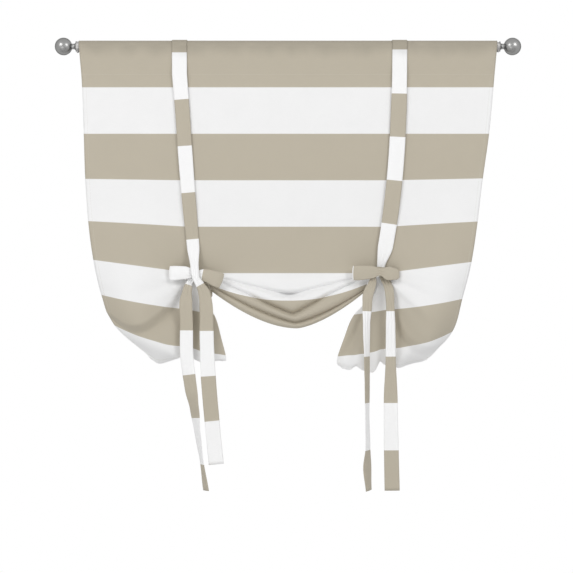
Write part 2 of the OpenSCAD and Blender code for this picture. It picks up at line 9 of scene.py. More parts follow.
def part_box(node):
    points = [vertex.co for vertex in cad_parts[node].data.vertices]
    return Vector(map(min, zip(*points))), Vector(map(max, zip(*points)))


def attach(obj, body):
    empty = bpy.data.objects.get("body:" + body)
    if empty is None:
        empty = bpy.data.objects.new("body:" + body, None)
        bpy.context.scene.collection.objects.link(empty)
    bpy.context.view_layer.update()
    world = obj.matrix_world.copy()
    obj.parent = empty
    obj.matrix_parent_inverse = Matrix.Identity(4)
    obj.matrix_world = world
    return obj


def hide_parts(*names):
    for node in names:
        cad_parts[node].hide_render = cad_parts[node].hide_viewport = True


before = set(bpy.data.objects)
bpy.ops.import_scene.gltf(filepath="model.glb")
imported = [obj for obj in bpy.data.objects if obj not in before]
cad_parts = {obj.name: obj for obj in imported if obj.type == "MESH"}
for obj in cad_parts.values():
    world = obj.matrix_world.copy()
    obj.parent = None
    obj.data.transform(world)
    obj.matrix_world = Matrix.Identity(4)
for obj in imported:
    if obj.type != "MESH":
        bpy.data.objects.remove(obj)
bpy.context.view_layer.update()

# Rod and panel, read from the frame
rod_low, rod_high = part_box("outer_rod_tube")
ROD_Y = (rod_low[1] + rod_high[1])/2
ROD_Z = (rod_low[2] + rod_high[2])/2
TUBE_R = (rod_high[2] - rod_low[2])/2
panel_low, panel_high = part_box("shade_panel")
HALF_W = (panel_high[0] - panel_low[0])/2
KNOT_X = 0.235

# Cloth
STRIPE_H = 0.1186
STRIPE_COUNT = 8
KNOT_STRIPE = 5
CLOTH_TH = 0.001
CLOTH_EASE = 0.00035
POCKET_DEPTH = 0.07
POCKET_SLACK_SHARE = 0.06
POCKET_ARC_SHARE = 0.75
POUF_DEPTH = 0.062
SWAG_DROP = 0.14
SWAG_FOLD = 0.02
SIDE_HEM = 0.012
FOOT_HEM = 0.022

# Ties
TIE_W = 0.038
TIE_TH = 0.0012
LEFT_TIE_INSET = 0.257
RIGHT_TIE_INSET = 0.249

# Levels of the panel, as drops below the top fold
DROP = STRIPE_H*STRIPE_COUNT
KNOT_T = STRIPE_H*KNOT_STRIPE
POCKET_R = TUBE_R*(1 + POCKET_SLACK_SHARE) + CLOTH_EASE + CLOTH_TH/2
TOP_Z = POCKET_R
KNOT_Z = TOP_Z - KNOT_T
SEAM_Y = CLOTH_TH/2 + CLOTH_EASE
POCKET_TURN = 180 - math.degrees(math.atan(POCKET_DEPTH/POCKET_R))
POCKET_ARC_Z = POCKET_R*math.cos(math.radians(POCKET_TURN))
SEAM_T = TOP_Z - POCKET_ARC_Z + POCKET_DEPTH*math.sin(math.radians(POCKET_TURN))

# Where the panel is pinched at each knot, in the flat panel and when tied
PINCH_OUT = KNOT_X*1.24
PINCH_IN = KNOT_X*1.04
KNOT_OUT_X = KNOT_X*1.034
KNOT_IN_X = KNOT_X*0.962
DRAW_IN_POWER = 1.2

# Side edges, one value per stripe from the top fold to the hem: distance from the middle as a share of the
# half width, and drop below the top fold in stripes
LEFT, RIGHT = -1, 1
EDGE_X_SHARES = {
    LEFT: (1, 0.985, 0.977, 0.97, 0.955, 0.928, 0.887, 0.827, 0.66),
    RIGHT: (1, 0.983, 0.962, 0.932, 0.906, 0.874, 0.829, 0.782, 0.664),
}
EDGE_DROP_SHARES = {
    LEFT: (0, 1, 2, 2.97, 3.88, 4.715, 5.465, 6.12, 6.8),
    RIGHT: (0, 1, 2, 2.96, 3.89, 4.76, 5.55, 6.25, 6.87),
}

# The fan below a knot: its stripes are drawn up; its inner edge flares to the middle, then back at the hem
FAN_DROP_SHARES = {LEFT: (0, 0.79, 1.58, 1.78), RIGHT: (0, 0.79, 1.61, 1.95)}
FAN_TILT_SHARES = (0, 0.1, 0.18, 0.1)
FLARE_X_SHARE = {LEFT: 0.677, RIGHT: 0.54}
FLARE_SHARES = (0, 0.1, 0.6, 0.84, 1, 1, 0.88)
FAN_OUT = KNOT_X*0.08
FLARE_FOLD = 0.62
FAN_BELLY = STRIPE_H*0.09
BUNCH = STRIPE_H*0.19
BUNCH_TURN = 135
PLEAT = STRIPE_H*0.16
PLEAT_COUNT = 1.6
LOBE_PLEAT_COUNT = 1.3
PLEAT_FADE = 4
HEM_DIP = 0.55
RISE_Y = STRIPE_H*0.17
BILLOW = STRIPE_H*0.08
LOBE_BELLY = STRIPE_H*0.1

# The lobes' forward swell, and the fold dragged from each knot to the side edge: its drop in stripes at
# even places from the knot to the edge
POUF_START = 3.2
POUF_POWER = 1.6
POUF_CURL = 0.25
POUF_CURL_POWER = 6
POUF_EDGES = (0.02, 0.8)
POUF_ACROSS_POWER = 1.6
DRAG_DROP_SHARES = {LEFT: (5, 5.75, 6.25, 6.58, 6.68, 6.5), RIGHT: (5.3, 6.35, 6.85, 7.1, 7.25, 7.3)}
DRAG_DEPTH = {LEFT: STRIPE_H*0.26, RIGHT: STRIPE_H*0.22}
DRAG_STEP = {LEFT: 0.3, RIGHT: 0.4}
DRAG_FADE = {LEFT: 0.5, RIGHT: 0.7}
DRAG_RISE = 6

# Soft folds that radiate from each knot over its lobe and fan: angle below the level in degrees, spread of
# the angle, height to the front, and the distance from the knot at which a fold is highest
RAY_FOLDS = {
    LEFT: ((36, 7, 0.003, 0.09), (20, 7, -0.003, 0.1), (72, 6, 0.002, 0.16), (103, 5, -0.003, 0.18)),
    RIGHT: (
        (42, 6, 0.0075, 0.1), (26, 7, -0.0065, 0.1), (13, 7, -0.003, 0.16), (66, 7, -0.005, 0.15),
        (102, 4, 0.0025, 0.19), (112, 4, -0.009, 0.2),
    ),
}
# Points and notches of the hem below each knot: angle below the level and its spread in degrees, and drop
HEM_POINTS = {
    LEFT: ((66, 5, 0.009), (79, 4, -0.007), (98, 3, -0.005), (110, 3, 0.005)),
    RIGHT: (
        (56, 4, 0.005), (70, 5, -0.006), (94.5, 2.5, 0.008), (90.2, 1.8, -0.014), (104, 2.5, -0.01),
        (108, 2.5, 0.004),
    ),
}
HEM_POINT_POWER = 6

# The swag between the knots: creases that climb to the knots, with the cloth puffed out between them
SWAG_SKEW = 0.1
SWAG_TOP_POWER = 2.4
SWAG_FOOT_POWER = {LEFT: 1.9, RIGHT: 1.5}
SWAG_TURN = 0.667
SWAG_CREASE_SHARES = (0, 0.386, 0.743, 0.9, 1)
SWAG_CLIMB_SHARES = {LEFT: (0, 0.8, 0.85, 0.42, 0), RIGHT: (0, 0.8, 0.85, 0.15, 0)}
SWAG_PUFF_SHARES = (0.35, 0.9, 0.75, 0.5)
SWAG_PUFF_POWER = 0.8
SWAG_LEAN = SWAG_DROP*0.14
SWAG_TUCK = SWAG_DROP*0.55
SWAG_DIMPLE = SWAG_FOLD*0.9
SWAG_DIMPLE_ACROSS = 0.13
SWAG_DIMPLE_ALONG = 0.045
SWAG_GROOVES = (0.0075, 0.006, 0.005)
SWAG_GROOVE_WIDE = 0.035
SWAG_GATHER_POWER = 4

# Soft upright waves above the knots
WAVE = STRIPE_H*0.016
WAVE_COUNT = 5.6
WAVE_FADE = 2

# Flat distance over which the slope of the cloth is taken
SLOPE_STEP = 0.0015


# Small helpers
def mix(a, b, f):
    return a + (b - a)*f


def clamp(v):
    return min(1.0, max(0.0, v))


def ease(v):
    c = clamp(v)
    return c*c*(3 - 2*c)


def sine(degrees):
    return math.sin(math.radians(degrees))


def cosine(degrees):
    return math.cos(math.radians(degrees))


def near(values, i):
    return values[min(len(values) - 1, max(0, i))]


def track(values, k):
    """Smooth value at place k along evenly spaced values."""
    last = len(values) - 1
    i = min(last - 1, max(0, math.floor(k)))
    f = k - i
    b, c = values[i], values[i + 1]
    a = values[i - 1] if i > 0 else 2*b - c
    d = values[i + 2] if i + 2 <= last else 2*c - b
    return b + f/2*(c - a + f*(2*a - 5*b + 4*c - d + f*(3*(b - c) + d - a)))


def at_rod(x, y, z):
    """A point given from the rod's axis, in the row frame."""
    return Vector((x, y + ROD_Y, z + ROD_Z))


# The hung panel: every function takes s, the flat distance across from the middle, and t, the drop from the
# top fold; a is s without its sign
def below_knot(t):
    return clamp((t - KNOT_T)/(DROP - KNOT_T))


def edge_x(side, t):
    return HALF_W*track(EDGE_X_SHARES[side], t/STRIPE_H)


def edge_z(side, t):
    return TOP_Z - STRIPE_H*track(EDGE_DROP_SHARES[side], t/STRIPE_H)


def fan_drop(side, r):
    return STRIPE_H*track(FAN_DROP_SHARES[side], r*(STRIPE_COUNT - KNOT_STRIPE))


def knot_level_x(a):
    if a <= PINCH_IN:
        return a*KNOT_IN_X/PINCH_IN
    return mix(KNOT_IN_X, KNOT_OUT_X, (a - PINCH_IN)/(PINCH_OUT - PINCH_IN))


def pouf(q, t):
    """Forward swell of a lobe at share q from the knot (0) to the side edge (1)."""
    u = clamp((t/STRIPE_H - POUF_START)/(STRIPE_COUNT - POUF_START))
    across = sine(180*mix(POUF_EDGES[0], POUF_EDGES[1], q))**POUF_ACROSS_POWER
    return POUF_DEPTH*across*(POUF_CURL*u**POUF_CURL_POWER - sine(180*u**POUF_POWER))


def wave(s, t):
    f = clamp(t/KNOT_T)
    return WAVE*f*f*sine(180*WAVE_COUNT*s/HALF_W)*(1 - ease(WAVE_FADE*below_knot(t)))


def bunch_fall(r):
    return BUNCH*sine(BUNCH_TURN*r)


def bunch_y(r):
    return mix(-SEAM_Y, RISE_Y, sine(90*r))


def pleat(g, r):
    return PLEAT*ease(r)*(cosine(360*PLEAT_COUNT*g) - 1)/2


def drag(side, q, t):
    """Step back below the fold that is dragged from the knot across the lobe."""
    line = DRAG_DROP_SHARES[side]
    past = max(0, t/STRIPE_H - track(line, q*(len(line) - 1)))
    return DRAG_DEPTH[side]*ease(past/DRAG_STEP[side])*math.exp(-past/DRAG_FADE[side])*ease(DRAG_RISE*q)


def ray_fold(side, point):
    """How far the folds that radiate from the knot stand forward at a point of the lobe or fan."""
    out = side*point.x - KNOT_X
    down = KNOT_Z - point.z
    angle = math.degrees(math.atan2(down, out))
    swell = 0
    for middle, spread, height, reach in RAY_FOLDS[side]:
        along = (math.hypot(out, down)/reach)**2
        swell += height*math.exp(-((angle - middle)/spread)**2)*along*math.exp(1 - along)
    return swell


def hem_drop(side, point):
    """How far the hem's points hang down at a point of the lobe or fan."""
    angle = math.degrees(math.atan2(KNOT_Z - point.z, side*point.x - KNOT_X))
    return sum(drop*math.exp(-((angle - middle)/spread)**2) for middle, spread, drop in HEM_POINTS[side])


def lobe_point(side, a, t):
    """The cloth outside the knot, from the pinch to the side edge."""
    q = (a - PINCH_OUT)/(HALF_W - PINCH_OUT)
    r = below_knot(t)
    draw = clamp(t/KNOT_T)**DRAW_IN_POWER
    inner_x = mix(PINCH_OUT, KNOT_OUT_X, draw) + FAN_OUT*r
    inner_z = KNOT_Z - fan_drop(side, r) if t > KNOT_T else TOP_Z - t
    fade = math.exp(-PLEAT_FADE*q)
    fold = pleat(-LOBE_PLEAT_COUNT*q, r)*fade
    sag = LOBE_BELLY*4*q*(1 - q)*ease(r)
    swell = pouf(q, t) + drag(side, q, t)
    point = Vector((
        side*mix(inner_x, edge_x(side, t), q),
        -SEAM_Y + wave(side*a, t) + swell + fold - FAN_BELLY*sine(180*r)*fade,
        mix(inner_z, edge_z(side, t), q) - sag + HEM_DIP*fold*r*r,
    ))
    point.y -= ray_fold(side, point)
    point.z -= hem_drop(side, point)*r**HEM_POINT_POWER
    return point


def fan_point(side, a, t):
    """The pinched cloth that hangs below the knot, turns back and rises behind to the bunch."""
    phi = (PINCH_OUT - a)/(PINCH_OUT - PINCH_IN)
    r = below_knot(t)
    front = clamp(phi/FLARE_FOLD)
    back = clamp((phi - FLARE_FOLD)/(1 - FLARE_FOLD))
    lift = ease(back)
    flare = KNOT_X*FLARE_X_SHARE[side] - mix(KNOT_OUT_X, KNOT_IN_X, FLARE_FOLD)
    spread = mix(FAN_OUT*r, flare*track(FLARE_SHARES, r*(len(FLARE_SHARES) - 1)), front)
    tilt = STRIPE_H*track(FAN_TILT_SHARES, r*(len(FAN_TILT_SHARES) - 1))*front
    fall = mix(fan_drop(side, r) + tilt, bunch_fall(r), lift)
    fold = pleat(FLARE_FOLD*front, r)
    front_y = -SEAM_Y + wave(side*a, t) + fold - FAN_BELLY*sine(180*r) + pouf(0, t)
    point = Vector((
        side*(knot_level_x(a) + spread*(1 - lift)**2),
        mix(front_y, bunch_y(r) + wave(side*a, t), lift) + BILLOW*sine(180*back)*r,
        KNOT_Z - fall + HEM_DIP*fold*r*r*(1 - lift),
    ))
    point.y -= ray_fold(side, point)*(1 - lift)
    point.z -= hem_drop(side, point)*r**HEM_POINT_POWER*(1 - lift)
    return point


def swag_creases(side, c):
    return [crease*(1 - climb*c) for crease, climb in zip(SWAG_CREASE_SHARES, SWAG_CLIMB_SHARES[side])]


def swag_groove(side, c, w):
    """How deep the creases themselves cut in."""
    creases = swag_creases(side, c)[1:]
    return sum(
        depth*math.exp(-((w - crease)/SWAG_GROOVE_WIDE)**2)
        for depth, crease in zip(SWAG_GROOVES, creases)
    )


def swag_puff(side, c, w):
    """How far the swag stands forward between its creases, as a share of the fold's depth."""
    creases = swag_creases(side, c)
    k = max(i for i in range(len(SWAG_PUFF_SHARES)) if creases[i] <= w)
    span = creases[k + 1] - creases[k]
    flat_span = SWAG_CREASE_SHARES[k + 1] - SWAG_CREASE_SHARES[k]
    arch = abs(sine(180*(w - creases[k])/span))**SWAG_PUFF_POWER
    return SWAG_PUFF_SHARES[k]*min(1, span/flat_span)*arch


def swag_dimple(c, w):
    """The pocket above the middle of the swag's first fold."""
    off = (w - SWAG_CREASE_SHARES[1])/SWAG_DIMPLE_ALONG
    return SWAG_DIMPLE*math.exp(-(c/SWAG_DIMPLE_ACROSS)**2 - off**2)


def swag_point(s, t):
    """The swag between the knots: folds that fall from knot to knot, with the hem tucked up behind."""
    r = below_knot(t)
    w = clamp(r/SWAG_TURN)
    tuck = clamp((r - SWAG_TURN)/(1 - SWAG_TURN))
    u = s/PINCH_IN
    off = u - SWAG_SKEW*w*w*(1 - u*u)
    side = LEFT if off < 0 else RIGHT
    c = abs(off)
    gape = 1 - c**mix(SWAG_TOP_POWER, SWAG_FOOT_POWER[side], w)
    puff = (SWAG_FOLD*swag_puff(side, c, w) - swag_groove(side, c, w))*math.sqrt(1 - c*c)
    front_y = swag_dimple(c, w) - SWAG_LEAN*sine(90*w)*(1 - c*c) - puff
    return Vector((
        s*KNOT_IN_X/PINCH_IN,
        mix(mix(front_y - SEAM_Y, RISE_Y, ease(tuck)), bunch_y(r), c**SWAG_GATHER_POWER) + wave(s, t),
        KNOT_Z - SWAG_DROP*w*gape - bunch_fall(r)*c*c + SWAG_TUCK*tuck*tuck*gape,
    ))


def hang_point(s, t):
    draw = clamp(t/KNOT_T)**DRAW_IN_POWER
    x = math.copysign(mix(abs(s), knot_level_x(abs(s)), draw), s)
    return Vector((x, -SEAM_Y + wave(s, t), TOP_Z - t))


def cloth_point(s, t):
    side = LEFT if s < 0 else RIGHT
    if abs(s) >= PINCH_OUT:
        return lobe_point(side, abs(s), t)
    if t <= KNOT_T:
        return hang_point(s, t)
    if abs(s) >= PINCH_IN:
        return fan_point(side, abs(s), t)
    return swag_point(s, t)


def cloth_back(s, t):
    """Direction out of the back of the cloth."""
    across = cloth_point(min(HALF_W, s + SLOPE_STEP), t) - cloth_point(max(-HALF_W, s - SLOPE_STEP), t)
    down = cloth_point(s, min(DROP, t + SLOPE_STEP)) - cloth_point(s, t - SLOPE_STEP)
    return across.cross(down).normalized()


def pocket_point(s, h):
    """The rod pocket, from the seam behind (h = -1) over the rod to the seam in front (h = 1)."""
    m = abs(h)
    turn = POCKET_TURN*min(1, m/POCKET_ARC_SHARE)
    along = clamp((m - POCKET_ARC_SHARE)/(1 - POCKET_ARC_SHARE))
    y = mix(POCKET_R*sine(turn), SEAM_Y, along)
    z = mix(POCKET_R*cosine(turn), TOP_Z - SEAM_T, along)
    x = cloth_point(s, TOP_Z - z).x
    return Vector((x, -math.copysign(y, h), z))


# Grid of the panel
LOBE_COLUMNS = 44
PINCH_COLUMNS = 56
SWAG_COLUMNS = 40
POCKET_ROWS = 16
HANG_ROWS = 36
FALL_ROWS = 108
FLAP_TAUPE = 0.02


def panel_columns():
    half = [mix(HALF_W, PINCH_OUT, i/LOBE_COLUMNS) for i in range(LOBE_COLUMNS)]
    half += [mix(PINCH_OUT, PINCH_IN, i/PINCH_COLUMNS) for i in range(PINCH_COLUMNS)]
    half += [mix(PINCH_IN, 0, i/SWAG_COLUMNS) for i in range(SWAG_COLUMNS)]
    return [-a for a in half] + [0.0] + half[::-1]


def panel_rows():
    """Each row as (function of s, drop along the cloth): negative drops lie behind the top fold."""
    rows = []
    for i in range(-POCKET_ROWS, POCKET_ROWS):
        h = i/POCKET_ROWS
        rows.append((lambda s, h=h: pocket_point(s, h), h*SEAM_T))
    for i in range(HANG_ROWS):
        t = mix(SEAM_T, KNOT_T, i/HANG_ROWS)
        rows.append((lambda s, t=t: cloth_point(s, t), t))
    for i in range(FALL_ROWS + 1):
        t = mix(KNOT_T, DROP, i/FALL_ROWS)
        rows.append((lambda s, t=t: cloth_point(s, t), t))
    return rows


def stripe_phase(point, t):
    """Stripes counted down from the top fold; the pocket's own level decides on its curve."""
    if t >= SEAM_T:
        return t/STRIPE_H
    level = TOP_Z - point.z
    return level/STRIPE_H if t > 0 else (FLAP_TAUPE - level)/STRIPE_H


# Making pieces
def mesh_object(name, bm, material):
    mesh = bpy.data.meshes.new(name)
    bm.to_mesh(mesh)
    bm.free()
    mesh.materials.append(material)
    piece = bpy.data.objects.new(name, mesh)
    bpy.context.scene.collection.objects.link(piece)
    return piece


def sheet_object(name, bm, thickness, material):
    """A smooth sheet with half its thickness on each side of the mesh."""
    piece = mesh_object(name, bm, material)
    piece.data.shade_smooth()
    thick = piece.modifiers.new("Thickness", "SOLIDIFY")
    thick.thickness = thickness
    thick.offset = 0
    return piece


def sheet_grid(across, along, place, material, name, thickness):
    """A grid of across x along points, moved to place(i, j): point, flat place and stripe phase."""
    bm = bmesh.new()
    bmesh.ops.create_grid(bm, x_segments=across - 1, y_segments=along - 1, size=1)
    stripe = bm.verts.layers.float.new("stripe")
    weave = bm.loops.layers.uv.new("weave")
    flat = {}
    for v in bm.verts:
        i = round((v.co.x + 1)/2*(across - 1))
        j = round((1 - v.co.y)/2*(along - 1))
        v.co, flat[v.index], v[stripe] = place(i, j)
    for face in bm.faces:
        for loop in face.loops:
            loop[weave].uv = flat[loop.vert.index]
    return sheet_object(name, bm, thickness, material)


# Materials
TAUPE = (0.512, 0.464, 0.374, 1)
WHITE = (0.90, 0.90, 0.90, 1)
TIE_WHITE = (0.96, 0.96, 0.96, 1)
THREAD_COLOUR = (0.74, 0.71, 0.64, 1)
ROD_COLOUR = (0.50, 0.49, 0.48, 1)
FINIAL_COLOUR = (0.325, 0.325, 0.32, 1)
PLUG_COLOUR = (0.09, 0.09, 0.095, 1)
METAL_RIM = (0.3, 0.3, 0.3, 1)
THREAD = 0.0006
# A wave texture of scale 1 repeats every pi/10
WEAVE_SCALE = math.pi/(10*THREAD)
STRIPE_EDGE = 0.012
SLUB_SCALE = (60, 900, 1)
SLUB_TONE = 0.05
SLUB_RELIEF = 0.8
CLOUD_TONE = 0.03
LOW_TONE = 0.96

# Painted shade on the cloth that the rod backs, where less light comes through: levels where this starts
# and where it is full, how ragged they are, and how far the painted shade darkens the colour
ROD_SHADE_START = -0.01
ROD_SHADE_FULL = 0.036
ROD_SHADE_RAGGED = 0.05
ROD_SHADE_FACTOR = 0.78


def new_material(name):
    material = bpy.data.materials.new(name)
    material.use_nodes = True
    nodes = material.node_tree.nodes
    return material, material.node_tree, nodes["Principled BSDF"]


def node(tree, kind, **values):
    """A node with its properties set; a key that names an input sets that input."""
    made = tree.nodes.new(kind)
    for key, value in values.items():
        if key in made.inputs:
            made.inputs[key].default_value = value
        else:
            setattr(made, key, value)
    return made


def join(tree, source, output, target, socket):
    tree.links.new(source.outputs[output], target.inputs[socket])


def outlet(value):
    """The first output of a node, or the socket itself."""
    return value.outputs[0] if isinstance(value, bpy.types.Node) else value


def maths(tree, operation, a, b=None):
    """A Math node; a and b are numbers, nodes or output sockets."""
    made = tree.nodes.new("ShaderNodeMath")
    made.operation = operation
    for i, value in enumerate((a, b)):
        if isinstance(value, (int, float)):
            made.inputs[i].default_value = value
        elif value is not None:
            tree.links.new(outlet(value), made.inputs[i])
    return made


def ramp(tree, value, start, end, low, high, kind="LINEAR"):
    """A Map Range node that takes start and end to low and high."""
    made = node(tree, "ShaderNodeMapRange", interpolation_type=kind)
    tree.links.new(outlet(value), made.inputs["Value"])
    for key, number in (("From Min", start), ("From Max", end), ("To Min", low), ("To Max", high)):
        made.inputs[key].default_value = number
    return made


def object_noise(tree, scale, detail):
    """Noise over the piece's own coordinates."""
    coords = node(tree, "ShaderNodeTexCoord")
    noise = node(tree, "ShaderNodeTexNoise", Scale=scale, Detail=detail)
    join(tree, coords, "Object", noise, "Vector")
    return noise


def mottled(tree, shader, noise, colour, dark):
    """Base colour that a noise takes from a darker tone to the colour itself."""
    tone = node(tree, "ShaderNodeMix", data_type="RGBA")
    join(tree, noise, "Fac", tone, "Factor")
    tone.inputs["A"].default_value = tuple(dark*c for c in colour[:3]) + (1,)
    tone.inputs["B"].default_value = colour
    join(tree, tone, "Result", shader, "Base Color")


def bumped(tree, shader, height, strength, distance):
    bump = node(tree, "ShaderNodeBump", Strength=strength, Distance=distance)
    tree.links.new(outlet(height), bump.inputs["Height"])
    join(tree, bump, "Normal", shader, "Normal")


def woven_cloth(name, taupe, white):
    """Printed stripes on a plain weave with slubs in its threads, and painted shade where the rod behind
    lets less light through the cloth.
    """
    material, tree, shader = new_material(name)
    stripe = node(tree, "ShaderNodeAttribute", attribute_name="stripe")
    swing = maths(tree, "SINE", maths(tree, "MULTIPLY", stripe.outputs["Fac"], math.pi))
    edge = ramp(tree, swing, -STRIPE_EDGE, STRIPE_EDGE, 0, 1, "SMOOTHSTEP")
    ink = node(tree, "ShaderNodeMix", data_type="RGBA")
    join(tree, edge, "Result", ink, "Factor")
    ink.inputs["A"].default_value = white
    ink.inputs["B"].default_value = taupe

    uv = node(tree, "ShaderNodeUVMap", uv_map="weave")
    slub_map = node(tree, "ShaderNodeMapping", Scale=SLUB_SCALE)
    join(tree, uv, "UV", slub_map, "Vector")
    slub = node(tree, "ShaderNodeTexNoise", Scale=1.0, Detail=3.0)
    join(tree, slub_map, "Vector", slub, "Vector")
    cloud = node(tree, "ShaderNodeTexNoise", Scale=14.0, Detail=2.0)
    join(tree, uv, "UV", cloud, "Vector")
    slub_tone = maths(tree, "MULTIPLY", slub, SLUB_TONE)
    cloud_tone = maths(tree, "MULTIPLY", cloud, CLOUD_TONE)
    shade = maths(tree, "ADD", maths(tree, "ADD", slub_tone, cloud_tone), LOW_TONE)

    # Painted shade: the base colour is darkened near the top, over the rod, where less light comes through
    # the cloth
    coords = node(tree, "ShaderNodeTexCoord")
    spot = node(tree, "ShaderNodeSeparateXYZ")
    join(tree, coords, "Object", spot, "Vector")
    ragged = maths(tree, "MULTIPLY", maths(tree, "SUBTRACT", cloud, 0.5), ROD_SHADE_RAGGED)
    level = maths(tree, "ADD", ragged, spot.outputs["Z"])
    painted_rod_shade = ramp(tree, level, ROD_SHADE_START, ROD_SHADE_FULL, 1, ROD_SHADE_FACTOR, "SMOOTHSTEP")

    tone_and_painted_shade = node(tree, "ShaderNodeMix", data_type="RGBA", blend_type="MULTIPLY")
    tone_and_painted_shade.inputs["Factor"].default_value = 1
    join(tree, ink, "Result", tone_and_painted_shade, "A")
    join(tree, maths(tree, "MULTIPLY", shade, painted_rod_shade), 0, tone_and_painted_shade, "B")
    join(tree, tone_and_painted_shade, "Result", shader, "Base Color")

    warp = node(tree, "ShaderNodeTexWave", bands_direction="X", Scale=WEAVE_SCALE)
    weft = node(tree, "ShaderNodeTexWave", bands_direction="Y", Scale=WEAVE_SCALE)
    join(tree, uv, "UV", warp, "Vector")
    join(tree, uv, "UV", weft, "Vector")
    threads = maths(tree, "MULTIPLY", warp, weft)
    relief = maths(tree, "ADD", threads, maths(tree, "MULTIPLY", slub, SLUB_RELIEF))
    bumped(tree, shader, relief, strength=0.25, distance=0.0003)
    shader.inputs["Roughness"].default_value = 0.85
    shader.inputs["Specular IOR Level"].default_value = 0.25
    shader.inputs["Sheen Weight"].default_value = 0.08
    shader.inputs["Sheen Roughness"].default_value = 0.5
    return material


def turned_metal(name, colour, roughness, ring, depth):
    """Satin metal with fine lathe rings along X and a slight haze; its rim reflects less."""
    material, tree, shader = new_material(name)
    haze = object_noise(tree, scale=90.0, detail=4.0)
    mottled(tree, shader, haze, colour, dark=0.86)
    rough = ramp(tree, haze.outputs["Fac"], 0, 1, roughness - 0.02, roughness + 0.03)
    join(tree, rough, "Result", shader, "Roughness")
    coords = node(tree, "ShaderNodeTexCoord")
    rings = node(tree, "ShaderNodeTexWave", bands_direction="X", Scale=ring, Distortion=0.6)
    join(tree, coords, "Object", rings, "Vector")
    bumped(tree, shader, rings.outputs["Fac"], strength=depth, distance=0.0002)
    shader.inputs["Metallic"].default_value = 1
    shader.inputs["Specular Tint"].default_value = METAL_RIM
    return material


def moulded_plastic(name, colour):
    material, tree, shader = new_material(name)
    grain = object_noise(tree, scale=900.0, detail=3.0)
    mottled(tree, shader, grain, colour, dark=0.8)
    bumped(tree, shader, grain.outputs["Fac"], strength=0.2, distance=0.0002)
    shader.inputs["Roughness"].default_value = 0.5
    return material


def spun_thread(name, colour):
    """Sewing thread, a little darker here and there."""
    material, tree, shader = new_material(name)
    mottled(tree, shader, object_noise(tree, scale=1400.0, detail=2.0), colour, dark=0.75)
    shader.inputs["Roughness"].default_value = 0.6
    return material


cloth = woven_cloth("striped_cloth", TAUPE, WHITE)
tie_cloth = woven_cloth("tie_cloth", TAUPE, TIE_WHITE)
thread = spun_thread("sewing_thread", THREAD_COLOUR)
rod_metal = turned_metal("rod_metal", ROD_COLOUR, roughness=0.34, ring=120.0, depth=0.015)
finial_metal = turned_metal("finial_metal", FINIAL_COLOUR, roughness=0.3, ring=160.0, depth=0.12)
plug_plastic = moulded_plastic("plug_plastic", PLUG_COLOUR)

for names, finish in (
    (("outer_rod_tube", "inner_rod_tube", "left_bracket", "right_bracket"), rod_metal),
    (("left_finial", "right_finial"), finial_metal),
    (("left_end_plug", "right_end_plug"), plug_plastic),
):
    for name in names:
        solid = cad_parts[name]
        solid.data.materials.clear()
        solid.data.materials.append(finish)

# The panel
columns = panel_columns()
rows = panel_rows()


def panel_place(i, j):
    s = columns[i]
    place, t = rows[j]
    point = place(s)
    return at_rod(*point), (s, -t), stripe_phase(point, t)


panel = sheet_grid(len(columns), len(rows), panel_place, cloth, "balloon_panel", CLOTH_TH)
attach(panel, "hung_shade")
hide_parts("shade_panel")

# Hems: the cloth folded over behind its side edges and its foot
HEM_TH = 0.001
HEM_GAP = 0.00025
HEM_ACROSS = 4
HEM_STEP = 0.006
HEM_STEP_OUT = 0.008
PLEATED_OUT = mix(PINCH_OUT, PINCH_IN, 0.45)
PLEATED_IN = PINCH_IN*0.85


def hem_strip(name, across, along, layer):
    """A folded-over strip behind the cloth, on the flat places across x along."""
    def place(i, j):
        s, t = across[i], along[j]
        lift = CLOTH_TH/2 + HEM_GAP + HEM_TH/2 + layer(s)*(HEM_TH + HEM_GAP)
        return at_rod(*(cloth_point(s, t) + cloth_back(s, t)*lift)), (s, -t), t/STRIPE_H

    strip = sheet_grid(len(across), len(along), place, cloth, name, HEM_TH)
    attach(strip, "hung_shade")
    return strip


def over_side_hem(s):
    """How far the foot's hem has stepped up onto the side hem: 1 where it lies on it."""
    return ease((abs(s) - HALF_W + SIDE_HEM + HEM_STEP_OUT)/HEM_STEP)


def on_cloth(s):
    """A hem that lies on the cloth all along."""
    return 0


drops = [t for place, t in rows if t > SEAM_T]
foot_drops = [t for t in drops if t >= DROP - FOOT_HEM]
for side, word in ((LEFT, "left"), (RIGHT, "right")):
    edge = sorted(side*(HALF_W - SIDE_HEM*i/HEM_ACROSS) for i in range(HEM_ACROSS + 1))
    hem_strip(word + "_side_hem", edge, drops, on_cloth)
    lobe = [s for s in columns if side*s >= PLEATED_OUT]
    hem_strip(word + "_foot_hem", lobe, foot_drops, over_side_hem)
swag = [s for s in columns if abs(s) <= PLEATED_IN]
hem_strip("swag_foot_hem", swag, foot_drops, on_cloth)

# Stitches of the hems and of the pocket's seam, on both faces
STITCH = 0.003
STITCH_PITCH = 0.0042
STITCH_R = 0.0003
SEWN = 0.85
SEW_STEP = 0.001
RIGHTWARD, LEFTWARD, UPWARD = (SEW_STEP, 0), (-SEW_STEP, 0), (0, -SEW_STEP)


def evenly(start, end):
    count = round((end - start)/STITCH_PITCH)
    return [mix(start, end, (i + 0.5)/count) for i in range(count)]


def stitch(bm, point, along, out):
    """A small bead of thread along the cloth, standing out of its face."""
    along = (along - out*along.dot(out)).normalized()
    axes = Matrix((along*STITCH/2, along.cross(out)*STITCH_R, out*STITCH_R)).transposed().to_4x4()
    bmesh.ops.create_icosphere(
        bm, subdivisions=1, radius=1, matrix=Matrix.Translation(at_rod(*point)) @ axes)


def sew(bm, places, step):
    """Stitches through the cloth and the hem behind it at flat places, along the flat direction step."""
    for s, t in places:
        point = cloth_point(s, t)
        back = cloth_back(s, t)
        along = cloth_point(s + step[0], t + step[1]) - point
        stitch(bm, point - back*(CLOTH_TH/2), along, -back)
        stitch(bm, point + back*(CLOTH_TH/2 + HEM_GAP + HEM_TH), along, back)


